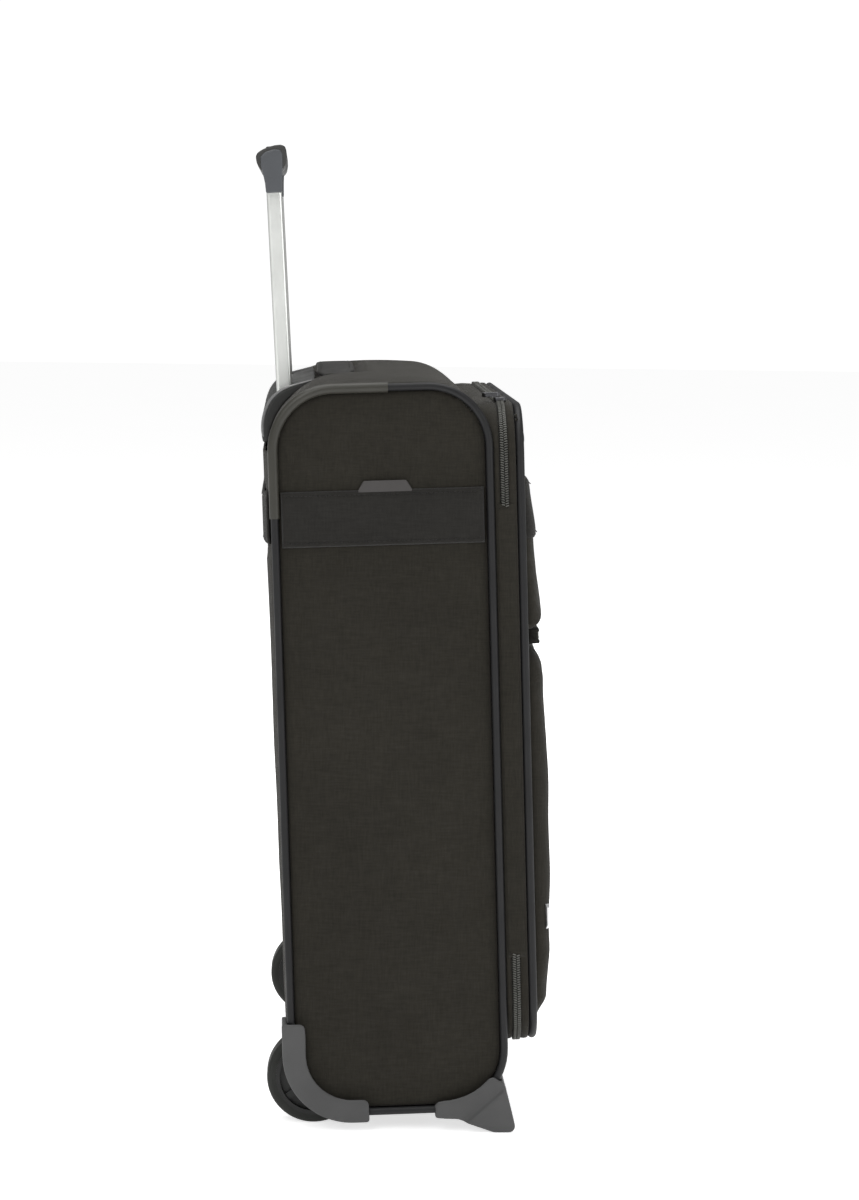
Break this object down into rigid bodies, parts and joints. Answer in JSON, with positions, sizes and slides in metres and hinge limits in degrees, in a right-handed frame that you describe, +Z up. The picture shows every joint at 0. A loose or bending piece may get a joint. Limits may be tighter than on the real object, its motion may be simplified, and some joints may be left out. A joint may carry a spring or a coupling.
{
  "type": "softside upright suitcase",
  "caption": "Soft-sided upright cabin case on rear wheels and front feet, with a zipped front lid, front pockets and a telescopic pull handle.",
  "frame": {"origin": "on the floor, below the middle of the overall box", "axes": "+Z up, +X towards the lid and pockets, +Y to the case's left; the case leans back 2.3 degrees on its feet"},
  "size_m": [0.2196, 0.4062, 0.7062],
  "materials": {
    "shell_fabric": "fine polyester weave, dark grey-brown",
    "belt_fabric": "smooth webbing",
    "lining_fabric": "smooth lining",
    "piping_rubber": "satin extruded piping",
    "sleeve_plastic": "satin",
    "board": "matte sheet",
    "guard_plastic": "moulded, fine texture",
    "bezel_plastic": "moulded, fine texture",
    "steel": "plain",
    "tube_alloy": "satin anodised",
    "grip_plastic": "soft satin",
    "button_plastic": "satin",
    "tyre_rubber": "matte",
    "hub_plastic": "satin",
    "zip_plastic": "nylon coil on woven tape",
    "zip_metal": "dark plated",
    "tag_plastic": "satin",
    "emblem_metal": "satin silver",
    "mesh": "open mesh"
  },
  "bodies": {
    "case": {"side_panel_right": "shell_fabric", "side_panel_left": "shell_fabric", "back_panel": "shell_fabric", "top_panel": "shell_fabric", "bottom_panel": "shell_fabric", "piping_right": "piping_rubber", "piping_left": "piping_rubber", "corner_sleeves": "sleeve_plastic", "side_belt_right": "belt_fabric", "side_belt_left": "belt_fabric", "back_belt": "belt_fabric", "back_board": "board", "front_rim": "shell_fabric", "front_frame_wire": "steel", "case_lining": "lining_fabric", "packing_straps": "belt_fabric", "strap_buckle": "bezel_plastic", "trolley_bezel": "bezel_plastic", "outer_tubes": "tube_alloy", "tube_base": "bezel_plastic", "wheel_housing_right": "guard_plastic", "wheel_housing_left": "guard_plastic", "wheel_axles": "steel", "front_foot_right": "guard_plastic", "front_foot_left": "guard_plastic", "corner_screws": "steel", "main_zip_case": "zip_plastic", "hinge_tape": "shell_fabric", "handle_caps": "bezel_plastic"},
    "lid": {"lid_frame": "shell_fabric", "lid_panel": "shell_fabric", "lid_piping": "piping_rubber", "lid_mesh_pocket": "mesh", "upper_pocket": "shell_fabric", "lower_pocket": "shell_fabric", "front_belt": "belt_fabric", "emblem_plate": "emblem_metal", "main_zip_lid": "zip_plastic", "pocket_zips": "zip_plastic"},
    "trolley_mid": {"mid_tubes": "tube_alloy"},
    "trolley_grip": {"inner_tubes": "tube_alloy", "grip_base": "grip_plastic", "grip_cover": "grip_plastic", "lock_blocks": "bezel_plastic"},
    "release": {"grip_button": "button_plastic", "release_rods": "steel"},
    "lock_right": {"lock_pin_right": "steel"},
    "lock_left": {"lock_pin_left": "steel"},
    "wheel_right": {"tyre_right": "tyre_rubber", "hub_right": "hub_plastic"},
    "wheel_left": {"tyre_left": "tyre_rubber", "hub_left": "hub_plastic"},
    "address_tag": {"id_tag": "tag_plastic"},
    "carry_handle": {"top_handle": "belt_fabric"},
    "main_zip_slider": {"main_slider": "zip_metal"},
    "main_zip_pull": {"main_pull": "zip_metal"},
    "upper_zip_slider": {"upper_slider": "zip_metal"},
    "upper_zip_pull": {"upper_pull": "zip_metal"},
    "lower_zip_slider": {"lower_slider": "zip_metal"},
    "lower_zip_pull": {"lower_pull": "zip_metal"}
  },
  "joints": [
    {"name": "lid_hinge", "type": "hinge", "parent": "case", "child": "lid", "pos_m": [0.07579, -0.1975, 0.29122], "axis": [0.0401, 0, -0.9992], "range_deg": [0, 165]},
    {"name": "trolley_mid_slide", "type": "slide", "parent": "case", "child": "trolley_mid", "axis": [-0.0593, 0, 0.9982], "range_m": [0, 0.238]},
    {"name": "trolley_grip_slide", "type": "slide", "parent": "trolley_mid", "child": "trolley_grip", "axis": [-0.0593, 0, 0.9982], "range_m": [-0.128, 0.108]},
    {"name": "button_press", "type": "slide", "parent": "trolley_grip", "child": "release", "axis": [0.0593, 0, -0.9982], "range_m": [0, 0.003]},
    {"name": "lock_pin_right_slide", "type": "slide", "parent": "trolley_grip", "child": "lock_right", "axis": [0, 1, 0], "range_m": [0, 0.0015]},
    {"name": "lock_pin_left_slide", "type": "slide", "parent": "trolley_grip", "child": "lock_left", "axis": [0, -1, 0], "range_m": [0, 0.0015]},
    {"name": "wheel_right_spin", "type": "hinge", "parent": "case", "child": "wheel_right", "pos_m": [-0.0615, -0.167, 0.034], "axis": [0, 1, 0], "continuous": true},
    {"name": "wheel_left_spin", "type": "hinge", "parent": "case", "child": "wheel_left", "pos_m": [-0.0615, 0.167, 0.034], "axis": [0, 1, 0], "continuous": true},
    {"name": "address_tag_slide", "type": "slide", "parent": "case", "child": "address_tag", "axis": [-0.0401, 0, 0.9992], "range_m": [0, 0.03]},
    {"name": "carry_handle_lift", "type": "slide", "parent": "case", "child": "carry_handle", "axis": [-0.0401, 0, 0.9992], "range_m": [0, 0.012]},
    {"name": "main_zip_run", "type": "slide", "parent": "case", "child": "main_zip_slider", "axis": [0, 1, 0], "range_m": [0, 0.3]},
    {"name": "main_pull_flip", "type": "hinge", "parent": "main_zip_slider", "child": "main_zip_pull", "pos_m": [0.06577, -0.158, 0.52821], "axis": [0, 1, 0], "range_deg": [0, 160]},
    {"name": "upper_zip_run", "type": "slide", "parent": "lid", "child": "upper_zip_slider", "axis": [0, -1, 0], "range_m": [0, 0.3]},
    {"name": "upper_pull_flip", "type": "hinge", "parent": "upper_zip_slider", "child": "upper_zip_pull", "pos_m": [0.09233, 0.158, 0.48504], "axis": [0, -1, 0], "range_deg": [0, 120]},
    {"name": "lower_zip_run", "type": "slide", "parent": "lid", "child": "lower_zip_slider", "axis": [0, -1, 0], "range_m": [0, 0.3]},
    {"name": "lower_pull_flip", "type": "hinge", "parent": "lower_zip_slider", "child": "lower_zip_pull", "pos_m": [0.10352, 0.158, 0.35838], "axis": [0, -1, 0], "range_deg": [0, 120]}
  ],
  "couplings": [
    {"joint": "lock_pin_right_slide", "follows": "button_press", "ratio": 0.5},
    {"joint": "lock_pin_left_slide", "follows": "button_press", "ratio": 0.5}
  ]
}
